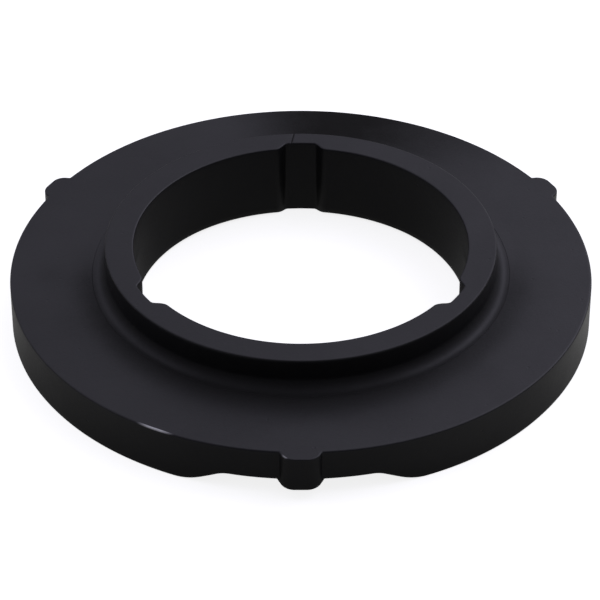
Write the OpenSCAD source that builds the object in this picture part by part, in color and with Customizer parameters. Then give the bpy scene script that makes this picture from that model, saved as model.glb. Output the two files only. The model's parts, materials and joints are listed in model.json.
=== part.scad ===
// Toilet flange seal ring: a flat rubber plate with a raised collar round its bore.
// The underside stands on z = 0, the bore's axis is Z, and the first rim rib points along -Y.

/* [Plate] */
// Outer radius of the plate's rim
rim_r = 70; // [62:0.5:80]
// Thickness of the plate
plate_h = 12; // [9:0.5:14]
// Rounding of the rim's top edge
rim_round_r = 0.5; // [0.4:0.1:1.5]

/* [Rim ribs] */
// Number of ribs, and of the bays and keyways that go with them
station_count = 3; // [2:1:4]
// How far a rib stands out of the rim
rib_proud = 2.6; // [1:0.1:4]
// Radius of the two rounded corners of a rib's nose
rib_nose_r = 3.6; // [3:0.1:5]
// Half width of the flat between the two corners
rib_flat_half_w = 1.3; // [0.5:0.1:3]
// Rounding of a rib's top edge, sharper than the rim's
rib_round_r = 0.3; // [0.1:0.05:0.35]
// Height of a rib's foot above the underside
rib_foot_z = 3; // [0:0.5:6]

/* [Underside bays] */
// Height of a bay's ceiling above the underside
bay_h = 4; // [1:0.5:6]
// Half of the angle over which a bay keeps its full height
bay_half_angle = 14.7; // [8:0.1:20]
// Length of the ramp on each side of a bay
bay_ramp = 8.4; // [4:0.1:12]

/* [Collar] */
// Radius of the bore
bore_r = 40; // [36:0.5:41]
// Outer radius of the collar
collar_r = 47; // [45:0.5:48]
// Height of the collar's top above the underside
collar_top_z = 20; // [18:0.5:30]
// Rounding of the two edges of the collar's top
collar_round_r = 0.4; // [0.2:0.1:1]
// Radius of the fillet round the collar's foot
foot_fillet_r = 2.8; // [1.5:0.1:3]
// Width of the shoulder's flat edge outside the fillet
shoulder_edge_w = 0.4; // [0.2:0.1:2]
// Depth of the shoulder's seat in the plate
seat_depth = 1; // [0.5:0.1:3]
// Radial width of the lead-in at the bore's lower edge
lead_in_w = 1.1; // [0.5:0.1:2]
// Height of the lead-in at the bore's lower edge
lead_in_h = 1; // [0.5:0.1:2]

/* [Keyways] */
// Radius from the axis to a keyway's floor
keyway_floor_r = 42.4; // [41.5:0.1:43.5]
// Half width of a keyway at its floor
keyway_floor_half_w = 3.8; // [2:0.1:6]
// Half width of a keyway where it opens into the bore
keyway_mouth_half_w = 5.7; // [4:0.1:7]

/* [Hidden] */
$fn = 180;
rubber_black = "#2c2c30";
// Distance that a cutting shape runs past the faces it cuts
overrun = 1;
station_angle = 360 / station_count;
first_rib_angle = -90;
first_keyway_angle = first_rib_angle + station_angle / 2;
seat_z = plate_h - seat_depth;
shoulder_r = collar_r + foot_fillet_r + shoulder_edge_w;

// Half width of a keyway at a distance r from the axis, along its slanted flanks
function keyway_half_w(r) =
    keyway_floor_half_w
    + (keyway_mouth_half_w - keyway_floor_half_w) * (keyway_floor_r - r) / (keyway_floor_r - bore_r);

// Places its children at each station round the axis
module at_stations(first_angle) {
    for (i = [0 : station_count - 1])
        rotate([0, 0, first_angle + i * station_angle])
            children();
}

// The corner between the X and Y axes that a quarter circle of radius r leaves over
module corner_spandrel(r) {
    difference() {
        square(r);
        translate([r, r])
            circle(r);
    }
}

// A rectangle from the axis outward, with its top outer corner rounded
module rounded_post_profile(r, z_low, z_high, round_r) {
    difference() {
        translate([0, z_low])
            square([r, z_high - z_low]);
        translate([r, z_high])
            rotate(180)
                corner_spandrel(round_r);
    }
}

module plate_body() {
    rotate_extrude()
        difference() {
            rounded_post_profile(rim_r, 0, plate_h, rim_round_r);
            translate([0, -overrun])
                square([collar_r, plate_h + 2 * overrun]);
            translate([0, seat_z])
                square([shoulder_r, seat_depth + overrun]);
        }
}

// Cross-section of a rib's nose, outward from the axis of its rounded corner
module rib_nose_profile() {
    rounded_post_profile(rib_nose_r, rib_foot_z, plate_h, rib_round_r);
}

module rim_rib() {
    translate([rim_r + rib_proud - rib_nose_r, 0, 0]) {
        for (side = [-1, 1])
            translate([0, side * rib_flat_half_w, 0])
                rotate_extrude()
                    rib_nose_profile();
        translate([0, rib_flat_half_w, 0])
            rotate([90, 0, 0])
                linear_extrude(height = 2 * rib_flat_half_w)
                    rib_nose_profile();
    }
}

// One ramp of a bay: a wedge along +X whose full height is on the X axis
module bay_ramp_wedge() {
    rotate([90, 0, 90])
        linear_extrude(height = rim_r + overrun)
            polygon([[0, -overrun], [bay_ramp * (1 + overrun / bay_h), -overrun], [0, bay_h]]);
}

// The hollow under the rim round one rib, with a ramp on each side
module underside_bay() {
    rotate([0, 0, -bay_half_angle])
        rotate_extrude(angle = 2 * bay_half_angle)
            translate([0, -overrun])
                square([rim_r + overrun, bay_h + overrun]);
    rotate([0, 0, bay_half_angle])
        bay_ramp_wedge();
    mirror([0, 1, 0])
        rotate([0, 0, bay_half_angle])
            bay_ramp_wedge();
}

module keyway() {
    inner_r = bore_r - overrun;
    outer_r = keyway_floor_r + overrun;
    translate([0, 0, -overrun])
        linear_extrude(height = collar_top_z + 2 * overrun)
            intersection() {
                circle(keyway_floor_r);
                polygon([
                    [inner_r, -keyway_half_w(inner_r)],
                    [outer_r, -keyway_half_w(outer_r)],
                    [outer_r, keyway_half_w(outer_r)],
                    [inner_r, keyway_half_w(inner_r)],
                ]);
            }
}

// Cross-section of the collar: its wall, the shoulder in the plate and the fillet above it
module collar_profile() {
    difference() {
        union() {
            translate([bore_r, 0])
                square([collar_r - bore_r, collar_top_z]);
            translate([bore_r, seat_z])
                square([shoulder_r - bore_r, seat_depth]);
            translate([collar_r, plate_h])
                corner_spandrel(foot_fillet_r);
        }
        translate([collar_r, collar_top_z])
            rotate(180)
                corner_spandrel(collar_round_r);
        translate([bore_r, collar_top_z])
            rotate(-90)
                corner_spandrel(collar_round_r);
        polygon([[bore_r, 0], [bore_r + lead_in_w, 0], [bore_r, lead_in_h]]);
    }
}

module flange_plate() {
    color(rubber_black) {
        difference() {
            plate_body();
            at_stations(first_rib_angle)
                underside_bay();
        }
        at_stations(first_rib_angle)
            rim_rib();
    }
}

module collar_sleeve() {
    color(rubber_black)
        difference() {
            rotate_extrude()
                collar_profile();
            at_stations(first_keyway_angle)
                keyway();
        }
}

flange_plate();
collar_sleeve();
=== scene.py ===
"""Looks of the toilet flange seal ring: its two rubber pieces on a pale studio floor.

Lengths are metres in the part's own frame: +Z up, the bore's axis on Z, the front rib along -Y.
"""
import json
import math

import bpy
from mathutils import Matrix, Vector, noise


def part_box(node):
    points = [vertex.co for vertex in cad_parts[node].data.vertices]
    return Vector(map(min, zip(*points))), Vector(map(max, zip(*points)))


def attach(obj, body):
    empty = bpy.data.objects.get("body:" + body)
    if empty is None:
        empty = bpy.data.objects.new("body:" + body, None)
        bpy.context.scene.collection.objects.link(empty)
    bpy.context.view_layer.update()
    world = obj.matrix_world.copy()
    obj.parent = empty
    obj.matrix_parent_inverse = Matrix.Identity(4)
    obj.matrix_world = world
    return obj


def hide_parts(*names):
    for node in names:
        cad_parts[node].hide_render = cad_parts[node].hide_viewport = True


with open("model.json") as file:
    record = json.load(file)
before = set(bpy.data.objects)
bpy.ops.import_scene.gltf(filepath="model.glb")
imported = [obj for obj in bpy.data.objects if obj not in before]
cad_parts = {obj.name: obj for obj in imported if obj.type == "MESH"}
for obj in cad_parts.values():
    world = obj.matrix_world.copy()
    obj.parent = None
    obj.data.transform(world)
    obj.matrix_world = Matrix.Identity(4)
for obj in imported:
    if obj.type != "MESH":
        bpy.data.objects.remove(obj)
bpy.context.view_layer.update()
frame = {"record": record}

MM = 0.001

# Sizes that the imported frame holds
MOUNTS = {mount["name"]: mount for mount in frame["record"]["mounts"]}
PLATE_LOW, PLATE_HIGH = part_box("flange_plate")
SLEEVE_LOW, SLEEVE_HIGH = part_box("collar_sleeve")
RIM_R = PLATE_HIGH.x
RIB_TIP_R = -PLATE_LOW.y
PLATE_H = PLATE_HIGH.z
SHOULDER_R = SLEEVE_HIGH.x
COLLAR_TOP = SLEEVE_HIGH.z
BORE_R = MOUNTS["outlet_bore"]["dims"]["r_mm"] * MM
LEAD_IN_H = MOUNTS["outlet_bore"]["pos_m"][2]
COLLAR_R = MOUNTS["collar_spigot"]["dims"]["r_mm"] * MM
COLLAR_WALL_H = MOUNTS["collar_spigot"]["dims"]["length_mm"] * MM
FILLET_TOP = MOUNTS["collar_spigot"]["pos_m"][2] - COLLAR_WALL_H / 2
COLLAR_ROUND_R = COLLAR_TOP - FILLET_TOP - COLLAR_WALL_H
FILLET_R = FILLET_TOP - PLATE_H

# Sizes of the moulded shapes
STATION_ANGLE = math.radians(120)
FIRST_RIB_ANGLE = math.radians(-90)
FIRST_KEYWAY_ANGLE = FIRST_RIB_ANGLE + STATION_ANGLE / 2
RIB_NOSE_R = 3.6 * MM
RIB_FLAT_HALF_W = 1.3 * MM
RIB_BLEND = 0.5 * MM
RIB_FOOT_Z = 3.0 * MM
RIB_FOOT_EDGE = 0.6 * MM
BAY_H = 4.0 * MM
BAY_HALF_ANGLE = math.radians(14.7)
BAY_RAMP = 8.4 * MM
BAY_CEILING_BLEND = 0.7 * MM
BAY_FLOOR_BLEND = 1.6 * MM
RIM_TOP_ROUND = 0.5 * MM
RIB_TOP_ROUND = 0.3 * MM
RIM_LOW_ROUND = 0.4 * MM
SEAT_DEPTH = 1.0 * MM
SEAM_ROUND = 0.08 * MM
KEYWAY_FLOOR_R = 42.4 * MM
KEYWAY_FLOOR_HALF_W = 3.8 * MM
KEYWAY_MOUTH_HALF_W = 5.7 * MM
KEYWAY_FLOOR_BLEND = 0.7 * MM
KEYWAY_MOUTH_BLEND = 1.7 * MM
LEAD_IN_W = 1.1 * MM
SLEEVE_LOW_ROUND = 0.4 * MM

# The fine knit line across the collar's top, where the rubber flowed together in the mould
KNIT_OUTER_ANGLE = math.radians(92.0)
KNIT_INNER_ANGLE = math.radians(93.2)
KNIT_HALF_W = 0.2 * MM
KNIT_DEPTH = 0.08 * MM

# Where the plate's back edge is darker and rougher: the middle of the zone, how far it
# reaches to its left and right, and the radii between which it fades in
DULL_BACK_SHARE = 1.25
DULL_BACK_ANGLE = math.radians(82.0)
DULL_BACK_LEFT = math.radians(28)
DULL_BACK_RIGHT = math.radians(46)
DULL_BACK_FADE = (49 * MM, 60 * MM)

# Painted shade round the collar's foot in front, which is also made rougher: close to it, and on
# a wider apron. Each fades out between two radii, and both fade out up the fillet and towards
# the back of the ring (by the sine of the angle).
FOOT_SHADE_SHARE = 0.42
FOOT_SHADE_FADE = (51 * MM, 58 * MM)
APRON_SHADE_SHARE = 0.14
APRON_SHADE_FADE = (54 * MM, 64 * MM)
SHADE_HEIGHT_FADE = (PLATE_H + 1.5 * MM, FILLET_TOP)
SHADE_FRONT_FADE = (-0.25, 0.30)

# Painted highlight: the foot's painted shade is lifted in a band at the fillet's lower end at the
# ring's sides
FILLET_HIGHLIGHT_SHARE = 0.65
FILLET_HIGHLIGHT_R = 48.9 * MM
FILLET_HIGHLIGHT_W = 0.9 * MM
FILLET_HIGHLIGHT_SIDE_FADE = (-0.98, -0.75)

# Painted shade, with more roughness, in the knit line and on the collar's outer top edge, where it
# damps the edge's highlight
KNIT_SHADE_SHARE = 1.2
EDGE_SHADE_SHARE = 0.3

# Faint smudges on the plate's top: (x, y, size, strength)
SMUDGES = (
    (-61 * MM, -3 * MM, 5 * MM, 0.20),
    (-56 * MM, -22 * MM, 8 * MM, 0.14),
    (42 * MM, -42 * MM, 5 * MM, 0.12),
    (22 * MM, -60 * MM, 6 * MM, 0.08),
)

# Painted glints on the plate's top edge, a near-white colour standing in for highlights: (angle,
# half of the arc it covers, strength)
PAINTED_GLINTS = (
    (math.radians(241.8), math.radians(5.4), 1.5),
    (math.radians(267.0), math.radians(1.0), 0.9),
)
# How much of the painted glint spills onto the plate's top face
PAINTED_GLINT_ON_TOP = 0.3

# Edge wear, from 0 to 1, on the rounded edges
TOP_EDGE_WEAR = 1.0
PLATE_LOW_WEAR = 0.5
LEAD_IN_WEAR = 0.4
SLEEVE_LOW_WEAR = 0.3

# How uneven the flexible rubber is: depth below the true surface, and the length of a ripple
SWAY_DEPTH = 0.12 * MM
SWAY_LENGTH = 28 * MM
RIPPLE_DEPTH = 0.02 * MM
RIPPLE_LENGTH = 5 * MM


# ---------------------------------------------------------------- curves

def smooth_max(a, b, blend):
    """The larger of a and b, with the change from one to the other rounded over blend."""
    near = max(blend - abs(a - b), 0.0) / blend
    return max(a, b) + near * near * blend / 4


def smooth_min(a, b, blend):
    return -smooth_max(-a, -b, blend)


def smooth_step(low, high, value):
    """0 up to low, 1 from high on, and an S-shaped change between them."""
    part = min(max((value - low) / (high - low), 0.0), 1.0)
    return part * part * (3 - 2 * part)


def station_offset(angle, first_angle):
    """The angle from the nearest of the three stations that start at first_angle."""
    turns = (angle - first_angle) / STATION_ANGLE
    return (turns - round(turns)) * STATION_ANGLE


def even_steps(low, high, count):
    """count + 1 values from low to high, both ends included."""
    return [low + (high - low) * i / count for i in range(count + 1)]


def arc_steps(count):
    """(sine, 1 - cosine) pairs over a quarter turn, both ends included."""
    return [(math.sin(a), 1 - math.cos(a)) for a in even_steps(0, math.pi / 2, count)]


# ---------------------------------------------------------------- shapes round the axis

def rim_radius(angle):
    """Radius of the rim at an angle, with the three blunt ribs blended into it."""
    offset = abs(station_offset(angle, FIRST_RIB_ANGLE))
    if RIB_TIP_R * math.tan(offset) < RIB_FLAT_HALF_W:
        return RIB_TIP_R / math.cos(offset)
    corner = Vector((RIB_TIP_R - RIB_NOSE_R, RIB_FLAT_HALF_W))
    along = corner.x * math.cos(offset) + corner.y * math.sin(offset)
    across = corner.x * math.sin(offset) - corner.y * math.cos(offset)
    inside = RIB_NOSE_R ** 2 - across ** 2
    if inside <= 0:
        return RIM_R
    return smooth_max(RIM_R, along + math.sqrt(inside), RIB_BLEND)


def bore_radius(angle, widened=0.0):
    """Radius of the bore at an angle, with the three keyways cut into it."""
    offset = station_offset(angle, FIRST_KEYWAY_ANGLE)
    aside = KEYWAY_FLOOR_R * abs(math.sin(offset))
    slope = (KEYWAY_FLOOR_R - BORE_R) / (KEYWAY_MOUTH_HALF_W - KEYWAY_FLOOR_HALF_W)
    flank = KEYWAY_FLOOR_R - (aside - KEYWAY_FLOOR_HALF_W) * slope
    floor = smooth_min(KEYWAY_FLOOR_R, flank, KEYWAY_FLOOR_BLEND)
    return smooth_max(BORE_R + widened, floor, KEYWAY_MOUTH_BLEND)


def rib_share(angle):
    """0 on the plain rim and 1 at a rib's tip."""
    return min((rim_radius(angle) - RIM_R) / (RIB_TIP_R - RIM_R), 1.0)


def underside_z(x, y):
    """Height of the plate's underside: 0, up a ramp into a bay, and down again on a rib's foot."""
    angle = math.atan2(y, x)
    r = math.hypot(x, y)
    offset = station_offset(angle, FIRST_RIB_ANGLE)
    along_ramp = r * math.sin(abs(offset) - BAY_HALF_ANGLE)
    ramp = BAY_H * (1 - along_ramp / BAY_RAMP)
    ceiling = smooth_min(BAY_H, ramp, BAY_CEILING_BLEND)
    ceiling = max(smooth_max(0.0, ceiling, BAY_FLOOR_BLEND), 0.0)
    beside_nose = max(abs(r * math.sin(offset)) - RIB_FLAT_HALF_W, 0.0)
    from_nose = math.hypot(r * math.cos(offset) - RIB_TIP_R + RIB_NOSE_R, beside_nose)
    foot = 1 - smooth_step(RIB_NOSE_R, RIB_NOSE_R + RIB_FOOT_EDGE, from_nose)
    return ceiling + (RIB_FOOT_Z - BAY_H) * foot


def darker_rougher_back(angle, r):
    """Darker colour and higher roughness along the plate's back edge."""
    from_middle = math.remainder(angle - DULL_BACK_ANGLE, math.tau)
    reach = DULL_BACK_LEFT if from_middle > 0 else DULL_BACK_RIGHT
    along = 1 - smooth_step(0.0, reach, abs(from_middle))
    return DULL_BACK_SHARE * along * smooth_step(*DULL_BACK_FADE, r)


def foot_shade(angle, r, z):
    """Painted shade round the collar's foot in front, with more roughness, lifted in a thin band
    on the fillet at the ring's sides to leave a painted highlight.
    """
    # Painted highlight: a thin band on the fillet where the painted shade is lifted
    sine = math.sin(angle)
    from_highlight = (r - FILLET_HIGHLIGHT_R) / FILLET_HIGHLIGHT_W
    highlight_band = FILLET_HIGHLIGHT_SHARE * math.exp(-from_highlight * from_highlight)
    highlight_band *= smooth_step(*FILLET_HIGHLIGHT_SIDE_FADE, sine)
    # Painted shade, with added roughness, close to the collar and on the wider apron
    dull = FOOT_SHADE_SHARE * (1 - smooth_step(*FOOT_SHADE_FADE, r))
    dull += APRON_SHADE_SHARE * (1 - smooth_step(*APRON_SHADE_FADE, r))
    dull *= 1 - smooth_step(*SHADE_HEIGHT_FADE, z)
    return dull * (1 - smooth_step(*SHADE_FRONT_FADE, sine)) * (1 - highlight_band)


def collar_top_shade(angle, r):
    """Painted shade, with more roughness, in the knit line and on the collar's outer top edge."""
    knit = KNIT_SHADE_SHARE * knit_dip(angle, r) / KNIT_DEPTH
    edge = smooth_step(COLLAR_R - 1.2 * COLLAR_ROUND_R, COLLAR_R, r)
    return knit + EDGE_SHADE_SHARE * edge


def smudges_at(x, y):
    total = 0.0
    for centre_x, centre_y, size, share in SMUDGES:
        away = math.hypot(x - centre_x, y - centre_y) / size
        total += share * math.exp(-away * away)
    return total


def dull_and_shade_share(x, y, z):
    """How dull and how darkened the rubber is at a point: 0 where it is plain satin, about 1 where
    it is matt; round the collar's foot and in the knit line the darkening is painted shade.
    """
    angle = math.atan2(y, x)
    r = math.hypot(x, y)
    if z < PLATE_H - RIM_TOP_ROUND:
        return 0.0
    if z > COLLAR_TOP - COLLAR_ROUND_R:
        return collar_top_shade(angle, r)
    return darker_rougher_back(angle, r) + foot_shade(angle, r, z) + smudges_at(x, y)


def painted_glint_share(angle):
    """Painted glint on the plate's top edge, added to its edge wear: a near-white colour standing
    in for a highlight.
    """
    wear = 0.0
    for centre, half, strength in PAINTED_GLINTS:
        aside = abs(math.remainder(angle - centre, math.tau)) / half
        wear += strength * (1 - smooth_step(0.1, 1.0, aside))
    return wear


def outline(radius_at, angle):
    """A point of a closed outline and the outline's unit normal there, away from the axis."""
    step = 1e-4
    before, after = (
        Vector((radius_at(a) * math.cos(a), radius_at(a) * math.sin(a)))
        for a in (angle - step, angle + step)
    )
    along = (after - before).normalized()
    radius = radius_at(angle)
    point = Vector((radius * math.cos(angle), radius * math.sin(angle)))
    return point, Vector((along.y, -along.x))


def knit_dip(angle, r):
    """Depth of the knit line below the collar's top."""
    part = (COLLAR_R - r) / (COLLAR_R - KEYWAY_FLOOR_R)
    line = KNIT_OUTER_ANGLE + (KNIT_INNER_ANGLE - KNIT_OUTER_ANGLE) * part
    aside = r * (math.remainder(angle - line, math.tau)) / KNIT_HALF_W
    return KNIT_DEPTH * math.exp(-aside * aside)


# ---------------------------------------------------------------- sections

def plate_section(angle):
    """The plate's cross-section at an angle: (x, y, z, edge wear plus painted glint) points in
    order round it.
    """
    cos_a, sin_a = math.cos(angle), math.sin(angle)
    edge, normal = outline(rim_radius, angle)
    edge_r = rim_radius(angle)
    top_round = RIM_TOP_ROUND + (RIB_TOP_ROUND - RIM_TOP_ROUND) * rib_share(angle)
    low_z = underside_z(edge.x, edge.y)
    seat_r = SHOULDER_R + SEAM_ROUND
    points = []

    def radial(r, z, wear=0.0):
        points.append((r * cos_a, r * sin_a, z, wear))

    def inset(depth, z, wear=0.0):
        points.append((edge.x - normal.x * depth, edge.y - normal.y * depth, z, wear))

    inner_radii = even_steps(COLLAR_R, 60 * MM, 10)
    outer_radii = even_steps(60 * MM, edge_r - 1.6 * RIM_LOW_ROUND, 26)[1:]
    for r in inner_radii + outer_radii:
        radial(r, underside_z(r * cos_a, r * sin_a))
    for rise, run in arc_steps(4):
        inset(RIM_LOW_ROUND * (1 - rise), low_z + RIM_LOW_ROUND * run, PLATE_LOW_WEAR)
    wall_low = low_z + RIM_LOW_ROUND
    wall_high = PLATE_H - top_round
    for z in even_steps(wall_low, wall_high, 10)[1:-1]:
        inset(0.0, z)
    for rise, run in arc_steps(6):
        # The painted glint is added to the wear on the top edge's rounding
        wear = TOP_EDGE_WEAR + painted_glint_share(angle) * min(1.6 * rise, 1.0)
        inset(top_round * run, wall_high + top_round * rise, wear)
    outer = edge - normal * 1.5 * top_round
    inner = Vector((cos_a, sin_a)) * (seat_r + SEAM_ROUND / 2)
    for part in even_steps(0.0, 1.0, 20):
        place = outer.lerp(inner, part)
        # The top face's outer edge takes a little of the painted glint
        wear = painted_glint_share(angle) * PAINTED_GLINT_ON_TOP if part == 0.0 else 0.0
        points.append((place.x, place.y, PLATE_H, wear))
    for rise, run in arc_steps(3):
        radial(seat_r - SEAM_ROUND * rise, PLATE_H - SEAM_ROUND * run)
    radial(SHOULDER_R, PLATE_H - SEAT_DEPTH)
    radial(COLLAR_R, PLATE_H - SEAT_DEPTH)
    low_inner_z = underside_z(COLLAR_R * cos_a, COLLAR_R * sin_a)
    for z in even_steps(PLATE_H - SEAT_DEPTH, low_inner_z, 4)[1:-1]:
        radial(COLLAR_R, z)
    return points


def sleeve_section(angle):
    """The collar sleeve's cross-section at an angle: (x, y, z, edge wear) points in order."""
    cos_a, sin_a = math.cos(angle), math.sin(angle)
    edge, normal = outline(bore_radius, angle)
    edge_r = bore_radius(angle)
    low_r = bore_radius(angle, LEAD_IN_W)
    seat_z = PLATE_H - SEAT_DEPTH
    points = []

    def radial(r, z, wear=0.0):
        points.append((r * cos_a, r * sin_a, z, wear))

    def inset(depth, z, wear=0.0):
        points.append((edge.x + normal.x * depth, edge.y + normal.y * depth, z, wear))

    for part in even_steps(0.0, 1.0, 4):
        radial(low_r * (1 - part) + (COLLAR_R - SLEEVE_LOW_ROUND) * part, 0.0)
    for rise, run in arc_steps(3)[1:]:
        r = COLLAR_R - SLEEVE_LOW_ROUND * (1 - rise)
        radial(r, SLEEVE_LOW_ROUND * run, SLEEVE_LOW_WEAR)
    for z in even_steps(SLEEVE_LOW_ROUND, seat_z, 6)[1:]:
        radial(COLLAR_R, z)
    radial(SHOULDER_R, seat_z)
    for rise, run in arc_steps(3):
        radial(SHOULDER_R - SEAM_ROUND * run, PLATE_H - SEAM_ROUND * (1 - rise))
    fillet_r = COLLAR_R + FILLET_R
    radial((fillet_r + SHOULDER_R - SEAM_ROUND) / 2, PLATE_H)
    for rise, run in arc_steps(10):
        radial(fillet_r - FILLET_R * rise, PLATE_H + FILLET_R * run)
    for z in even_steps(FILLET_TOP, COLLAR_TOP - COLLAR_ROUND_R, 8)[1:-1]:
        radial(COLLAR_R, z)
    for rise, run in arc_steps(4):
        r = COLLAR_R - COLLAR_ROUND_R * run
        z = COLLAR_TOP - COLLAR_ROUND_R * (1 - rise)
        radial(r, z - knit_dip(angle, r) * rise, TOP_EDGE_WEAR)
    top_outer_r = COLLAR_R - 1.5 * COLLAR_ROUND_R
    outer = Vector((top_outer_r * cos_a, top_outer_r * sin_a))
    inner = edge + normal * 1.5 * COLLAR_ROUND_R
    for part in even_steps(0.0, 1.0, 8):
        place = outer.lerp(inner, part)
        dip = knit_dip(math.atan2(place.y, place.x), place.length)
        points.append((place.x, place.y, COLLAR_TOP - dip, 0.0))
    for rise, run in arc_steps(4):
        inset(
            COLLAR_ROUND_R * (1 - rise),
            COLLAR_TOP - COLLAR_ROUND_R * run - knit_dip(angle, edge_r) * (1 - rise),
            TOP_EDGE_WEAR,
        )
    for z in even_steps(COLLAR_TOP - COLLAR_ROUND_R, LEAD_IN_H, 14)[1:]:
        inset(0.0, z)
    for part in even_steps(0.0, 1.0, 3)[1:-1]:
        r = bore_radius(angle, LEAD_IN_W * part)
        radial(r, LEAD_IN_H * (1 - part), LEAD_IN_WEAR)
    return points


# ---------------------------------------------------------------- meshes

def station_angles(fine_zones):
    """Angles once round the axis: every degree, and closer steps in zones (centre, half, step)."""
    found = {round(a, 4) for a in range(360)}
    for centre, half, step in fine_zones:
        count = round(2 * half / step)
        found.update(round((centre + a) % 360, 4) for a in even_steps(-half, half, count))
    return [math.radians(a) for a in sorted(found)]


def three_zones(first_angle, half, step):
    first = math.degrees(first_angle)
    return [(first + i * math.degrees(STATION_ANGLE), half, step) for i in range(3)]


def settle(x, y, z):
    """How far a point lies inside the true surface, as flexible moulded rubber does."""
    place = Vector((x, y, z))
    sway = (1 - noise.noise(place / SWAY_LENGTH)) / 2
    ripple = (1 - noise.noise(place / RIPPLE_LENGTH)) / 2
    return SWAY_DEPTH * sway + RIPPLE_DEPTH * ripple


def swept_ring(name, section_at, angles):
    """A closed ring through the sections at the angles, with its wear and painted glint, and its
    dullness and painted shade, stored.
    """
    sections = [section_at(angle) for angle in angles]
    row = len(sections[0])
    points = [point for section in sections for point in section]
    faces = []
    for i in range(len(sections)):
        here = i * row
        there = (i + 1) % len(sections) * row
        for k in range(row):
            after = (k + 1) % row
            faces.append((here + k, there + k, there + after, here + after))
    mesh = bpy.data.meshes.new(name)
    mesh.from_pydata([point[:3] for point in points], [], faces)
    wear = mesh.attributes.new("edge_wear_and_glint", "FLOAT", "POINT")
    wear.data.foreach_set("value", [point[3] for point in points])
    dull = mesh.attributes.new("dull_and_painted_shade", "FLOAT", "POINT")
    dull.data.foreach_set("value", [dull_and_shade_share(*point[:3]) for point in points])
    mesh.polygons.foreach_set("use_smooth", [True] * len(faces))
    mesh.update()
    piece = bpy.data.objects.new(name, mesh)
    bpy.context.scene.collection.objects.link(piece)
    return piece


def make_uneven(piece, keep):
    """Moves each vertex a little into the rubber, except where keep says that it must stay."""
    normals = [vertex.normal.copy() for vertex in piece.data.vertices]
    for vertex, normal in zip(piece.data.vertices, normals):
        share = keep(vertex.co)
        vertex.co -= normal * settle(*vertex.co) * share
    piece.data.update()


# ---------------------------------------------------------------- materials

RUBBER_DARK = (0.0060, 0.0060, 0.0066)
RUBBER_PALE = (0.0084, 0.0084, 0.0090)
RUBBER_SPECKLE = (0.0074, 0.0074, 0.0080)
# Darker, olive colour of the dull rubber, used also for painted shade
RUBBER_DULL_SHADE = (0.0062, 0.0060, 0.0044)
RUBBER_WORN = (0.016, 0.016, 0.018)
# Near-white colour of the painted glints, standing in for highlights
PAINTED_GLINT_COLOUR = (0.75, 0.75, 0.75)
CLOUD_LENGTH = 26 * MM
MOTTLE_LENGTH = 3.5 * MM
GRAIN_LENGTH = 0.45 * MM
PIT_SPACING = 5 * MM
FLOOR_TINTS = ((0.86, 0.86, 0.86), (0.89, 0.89, 0.89))


def add_node(tree, kind, place, **values):
    node = tree.nodes.new(kind)
    node.location = place
    for key, value in values.items():
        setattr(node, key, value)
    return node


def noise_texture(tree, coords, place, length, detail, roughness=0.5):
    """A noise whose features are about length across."""
    texture = add_node(tree, "ShaderNodeTexNoise", place)
    texture.inputs["Scale"].default_value = 1 / length
    texture.inputs["Detail"].default_value = detail
    texture.inputs["Roughness"].default_value = roughness
    tree.links.new(coords, texture.inputs["Vector"])
    return texture.outputs["Fac"]


def remap(tree, value, place, low, high, to_low=0.0, to_high=1.0):
    node = add_node(tree, "ShaderNodeMapRange", place)
    node.interpolation_type = "SMOOTHSTEP"
    numbers = {"From Min": low, "From Max": high, "To Min": to_low, "To Max": to_high}
    for name, number in numbers.items():
        node.inputs[name].default_value = number
    tree.links.new(value, node.inputs["Value"])
    return node.outputs["Result"]


def math_node(tree, operation, place, first, second=0.0):
    node = add_node(tree, "ShaderNodeMath", place, operation=operation)
    for socket, value in zip(node.inputs, (first, second)):
        if isinstance(value, float):
            socket.default_value = value
        else:
            tree.links.new(value, socket)
    return node.outputs["Value"]


def mix_colours(tree, share, place, first, second):
    node = add_node(tree, "ShaderNodeMix", place, data_type="RGBA")
    tree.links.new(share, node.inputs["Factor"])
    for socket, value in ((node.inputs["A"], first), (node.inputs["B"], second)):
        if isinstance(value, tuple):
            socket.default_value = (*value, 1.0)
        else:
            tree.links.new(value, socket)
    return node.outputs["Result"]


def bump(tree, place, height, depth, strength, under=None):
    node = add_node(tree, "ShaderNodeBump", place)
    node.inputs["Strength"].default_value = strength
    node.inputs["Distance"].default_value = depth
    tree.links.new(height, node.inputs["Height"])
    if under is not None:
        tree.links.new(under, node.inputs["Normal"])
    return node.outputs["Normal"]


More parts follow.
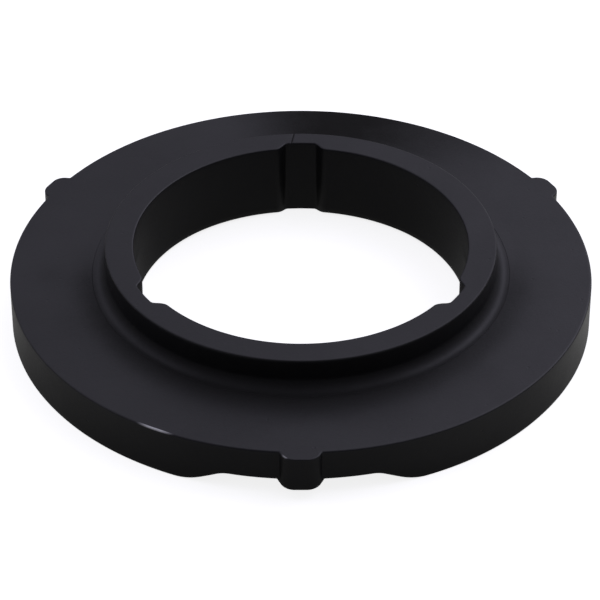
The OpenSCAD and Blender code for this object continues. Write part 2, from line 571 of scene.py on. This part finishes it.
def rubber_material(name, shift):
    """Black moulded rubber: satin, faintly mottled, finely grained, with worn edges, painted shade
    and painted glints.
    """
    material = bpy.data.materials.new(name)
    material.use_nodes = True
    tree = material.node_tree
    tree.nodes.clear()
    coords = add_node(tree, "ShaderNodeTexCoord", (-1500, 0))
    mapping = add_node(tree, "ShaderNodeMapping", (-1320, 0))
    mapping.inputs["Location"].default_value = shift
    tree.links.new(coords.outputs["Object"], mapping.inputs["Vector"])
    place = mapping.outputs["Vector"]
    wear = add_node(tree, "ShaderNodeAttribute", (-1320, -420), attribute_name="edge_wear_and_glint")
    dull = add_node(tree, "ShaderNodeAttribute", (-1320, -640), attribute_name="dull_and_painted_shade")

    cloud = noise_texture(tree, place, (-1100, 420), CLOUD_LENGTH, 4.0)
    mottle = noise_texture(tree, place, (-1100, 200), MOTTLE_LENGTH, 5.0, 0.6)
    grain = noise_texture(tree, place, (-1100, -20), GRAIN_LENGTH, 3.0, 0.6)
    film = remap(tree, cloud, (-880, 420), 0.42, 0.72)
    speckle = remap(tree, mottle, (-880, 200), 0.35, 0.75)
    rubbed = math_node(tree, "MULTIPLY", (-880, -420), wear.outputs["Fac"], grain)

    colour = mix_colours(tree, film, (-620, 420), RUBBER_DARK, RUBBER_PALE)
    colour = mix_colours(tree, speckle, (-440, 420), colour, RUBBER_SPECKLE)
    # Painted shade: darker, olive colour where the rubber is marked dull, round the collar's foot
    # and in the knit line; the same darkening marks the back edge and the smudges
    colour = mix_colours(tree, dull.outputs["Fac"], (-350, 560), colour, RUBBER_DULL_SHADE)
    worn_share = math_node(tree, "MULTIPLY", (-620, -420), rubbed, 0.7)
    colour = mix_colours(tree, worn_share, (-260, 420), colour, RUBBER_WORN)
    # Painted glint: near-white where the wear attribute goes above 1.2, which only the painted
    # glints reach
    glint_share = remap(tree, wear.outputs["Fac"], (-620, -600), 1.2, 2.6)
    colour = mix_colours(tree, glint_share, (-80, 420), colour, PAINTED_GLINT_COLOUR)

    rough_film = remap(tree, cloud, (-620, 120), 0.3, 0.7, 0.42, 0.34)
    rough_grain = remap(tree, grain, (-620, -60), 0.2, 0.8, -0.04, 0.05)
    roughness = math_node(tree, "ADD", (-440, 60), rough_film, rough_grain)
    patchy = remap(tree, mottle, (-620, -780), 0.25, 0.75, 0.46, 0.52)
    dull_rough = math_node(tree, "MULTIPLY", (-440, -640), dull.outputs["Fac"], patchy)
    roughness = math_node(tree, "ADD", (-260, 60), roughness, dull_rough)

    pits = add_node(tree, "ShaderNodeTexVoronoi", (-1100, -240))
    pits.inputs["Scale"].default_value = 1 / PIT_SPACING
    tree.links.new(place, pits.inputs["Vector"])
    pit_depth = remap(tree, pits.outputs["Distance"], (-880, -240), 0.03, 0.09)
    normal = bump(tree, (-260, -120), mottle, 0.10 * MM, 0.35)
    normal = bump(tree, (-80, -120), grain, 0.03 * MM, 0.5, normal)
    normal = bump(tree, (100, -120), pit_depth, 0.10 * MM, 0.35, normal)

    shader = add_node(tree, "ShaderNodeBsdfPrincipled", (320, 200))
    shader.inputs["IOR"].default_value = 1.5
    tree.links.new(colour, shader.inputs["Base Color"])
    tree.links.new(roughness, shader.inputs["Roughness"])
    tree.links.new(normal, shader.inputs["Normal"])
    output = add_node(tree, "ShaderNodeOutputMaterial", (620, 200))
    tree.links.new(shader.outputs["BSDF"], output.inputs["Surface"])
    return material


def floor_material():
    """Pale paper with a very faint mottle."""
    material = bpy.data.materials.new("studio_floor")
    material.use_nodes = True
    tree = material.node_tree
    shader = tree.nodes["Principled BSDF"]
    shader.inputs["Roughness"].default_value = 0.9
    shader.inputs["Specular IOR Level"].default_value = 0.1
    coords = add_node(tree, "ShaderNodeTexCoord", (-900, 0))
    cloud = noise_texture(tree, coords.outputs["Object"], (-680, 0), 300 * MM, 2.0)
    tint = mix_colours(tree, cloud, (-400, 0), *FLOOR_TINTS)
    tree.links.new(tint, shader.inputs["Base Color"])
    tree.links.new(tint, shader.inputs["Emission Color"])
    shader.inputs["Emission Strength"].default_value = 0.95
    return material


def table_glow_material():
    """The dim table that the ring's walls reflect, which glows: its emission is brighter behind
    the ring and at its sides.
    """
    material = bpy.data.materials.new("studio_table_glow")
    material.use_nodes = True
    tree = material.node_tree
    shader = tree.nodes["Principled BSDF"]
    shader.inputs["Base Color"].default_value = (0.26, 0.26, 0.23, 1.0)
    shader.inputs["Roughness"].default_value = 1.0
    shader.inputs["Specular IOR Level"].default_value = 0.0
    shader.inputs["Emission Color"].default_value = (1.0, 1.0, 0.98, 1.0)
    coords = add_node(tree, "ShaderNodeTexCoord", (-1100, 0))
    split = add_node(tree, "ShaderNodeSeparateXYZ", (-900, 0))
    tree.links.new(coords.outputs["Object"], split.inputs["Vector"])
    front = remap(tree, split.outputs["Y"], (-700, 400), -0.07, -0.03, 0.060, 0.035)
    back = remap(tree, split.outputs["Y"], (-700, 200), 0.01, 0.07, 0.0, 0.14)
    right = remap(tree, split.outputs["X"], (-700, 0), 0.015, 0.10, 0.0, 0.44)
    left = remap(tree, split.outputs["X"], (-700, -200), -0.015, -0.10, 0.0, 0.30)
    depth = remap(tree, split.outputs["Y"], (-700, -400), -0.05, 0.02, 0.28, 1.0)
    sides = math_node(tree, "ADD", (-500, -100), right, left)
    sides = math_node(tree, "MULTIPLY", (-320, -200), sides, depth)
    glow = math_node(tree, "ADD", (-500, 300), front, back)
    glow = math_node(tree, "ADD", (-160, 100), glow, sides)
    tree.links.new(glow, shader.inputs["Emission Strength"])
    return material


# ---------------------------------------------------------------- pieces

def build_plate():
    zones = three_zones(FIRST_RIB_ANGLE, 7.0, 0.14)
    zones += three_zones(FIRST_RIB_ANGLE, 24.0, 0.5)
    piece = swept_ring("plate_skin", plate_section, station_angles(zones))

    def free_share(co):
        """1 on the open surfaces, 0 on the seat and in the hole that the sleeve fills."""
        return smooth_step(SHOULDER_R, SHOULDER_R + 3 * MM, math.hypot(co.x, co.y))

    make_uneven(piece, free_share)
    piece.data.materials.append(rubber_material("plate_rubber_look", (0.0, 0.0, 0.0)))
    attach(piece, "root")
    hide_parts("flange_plate")
    return piece


def build_sleeve():
    zones = three_zones(FIRST_KEYWAY_ANGLE, 9.5, 0.19)
    zones.append((math.degrees((KNIT_OUTER_ANGLE + KNIT_INNER_ANGLE) / 2), 2.0, 0.08))
    piece = swept_ring("collar_skin", sleeve_section, station_angles(zones))

    def free_share(co):
        """1 on the collar and the bore, 0 where the sleeve sits in the plate."""
        r = math.hypot(co.x, co.y)
        inside = 1 - smooth_step(COLLAR_R - 3 * MM, COLLAR_R - 1 * MM, r)
        above = smooth_step(PLATE_H + 0.5 * MM, PLATE_H + 3 * MM, co.z)
        return max(inside, above)

    make_uneven(piece, free_share)
    piece.data.materials.append(rubber_material("collar_rubber_look", (0.31, 0.17, 0.05)))
    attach(piece, "root")
    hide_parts("collar_sleeve")
    return piece


# ---------------------------------------------------------------- studio

CAMERA_DISTANCE = 0.7555
CAMERA_ELEVATION = math.radians(36.67)
CAMERA_TARGET = Vector((-0.0002, 0.0012, 0.0016))
CAMERA_LENS = 186.3

# Soft lights of the room: (azimuth, elevation, tightness, radiance at its middle); the last is
# the dim glow in front, which shows the ring's shape from behind
SOFT_LIGHTS = (
    (math.radians(57), math.radians(38), 14.0, 1.36),
    (math.radians(12), math.radians(52), 10.0, 0.92),
    (math.radians(118), math.radians(35), 10.0, 0.42),
    (math.radians(172), math.radians(45), 9.0, 0.60),
    (math.radians(-90), math.radians(18), 3.0, 0.06),
)
ROOM_RADIANCE = 0.025
LIGHT_TINT = (0.93, 0.91, 1.10)


def aim(piece, target):
    piece.rotation_euler = (target - piece.location).to_track_quat("-Z", "Y").to_euler()


def build_camera():
    data = bpy.data.cameras.new("camera")
    data.lens = CAMERA_LENS
    data.sensor_width = 36.0
    data.clip_start = 0.05
    data.clip_end = 50.0
    camera = bpy.data.objects.new("camera", data)
    bpy.context.scene.collection.objects.link(camera)
    away = Vector((0.0, -math.cos(CAMERA_ELEVATION), math.sin(CAMERA_ELEVATION)))
    camera.location = away * CAMERA_DISTANCE
    aim(camera, CAMERA_TARGET)
    bpy.context.scene.camera = camera


def flat_sheet(name, z, material):
    half = 20.0
    mesh = bpy.data.meshes.new(name)
    corners = [(-half, -half, z), (half, -half, z), (half, half, z), (-half, half, z)]
    mesh.from_pydata(corners, [], [(0, 1, 2, 3)])
    mesh.materials.append(material)
    sheet = bpy.data.objects.new(name, mesh)
    bpy.context.scene.collection.objects.link(sheet)
    return sheet


def build_floor():
    """The pale floor that the camera sees, and the dim table that lights the ring from below."""
    floor = flat_sheet("floor", 0.0, floor_material())
    floor.visible_diffuse = False
    floor.visible_glossy = False
    floor.visible_shadow = False
    table = flat_sheet("table", -0.05 * MM, table_glow_material())
    table.visible_camera = False


def build_world():
    """A dark room lit by SOFT_LIGHTS, each one a round glow that fades from its middle."""
    world = bpy.data.worlds.new("studio")
    bpy.context.scene.world = world
    world.use_nodes = True
    tree = world.node_tree
    coords = add_node(tree, "ShaderNodeTexCoord", (-1300, 0))
    total = ROOM_RADIANCE
    for i, (azimuth, elevation, tightness, radiance) in enumerate(SOFT_LIGHTS):
        row = -220 * i
        towards = Vector((
            math.cos(azimuth) * math.cos(elevation),
            math.sin(azimuth) * math.cos(elevation),
            math.sin(elevation),
        ))
        dot = add_node(tree, "ShaderNodeVectorMath", (-1100, row), operation="DOT_PRODUCT")
        dot.inputs[1].default_value = towards
        tree.links.new(coords.outputs["Generated"], dot.inputs[0])
        off = math_node(tree, "SUBTRACT", (-900, row), dot.outputs["Value"], 1.0)
        fall = math_node(tree, "MULTIPLY", (-720, row), off, tightness)
        glow = math_node(tree, "EXPONENT", (-540, row), fall)
        glow = math_node(tree, "MULTIPLY", (-360, row), glow, radiance)
        total = math_node(tree, "ADD", (-180, row), glow, total)
    background = tree.nodes["Background"]
    tree.links.new(total, background.inputs["Strength"])
    background.inputs["Color"].default_value = (*LIGHT_TINT, 1.0)


build_camera()
build_floor()
build_world()
build_plate()
build_sleeve()
bpy.context.scene.view_settings.view_transform = "Standard"
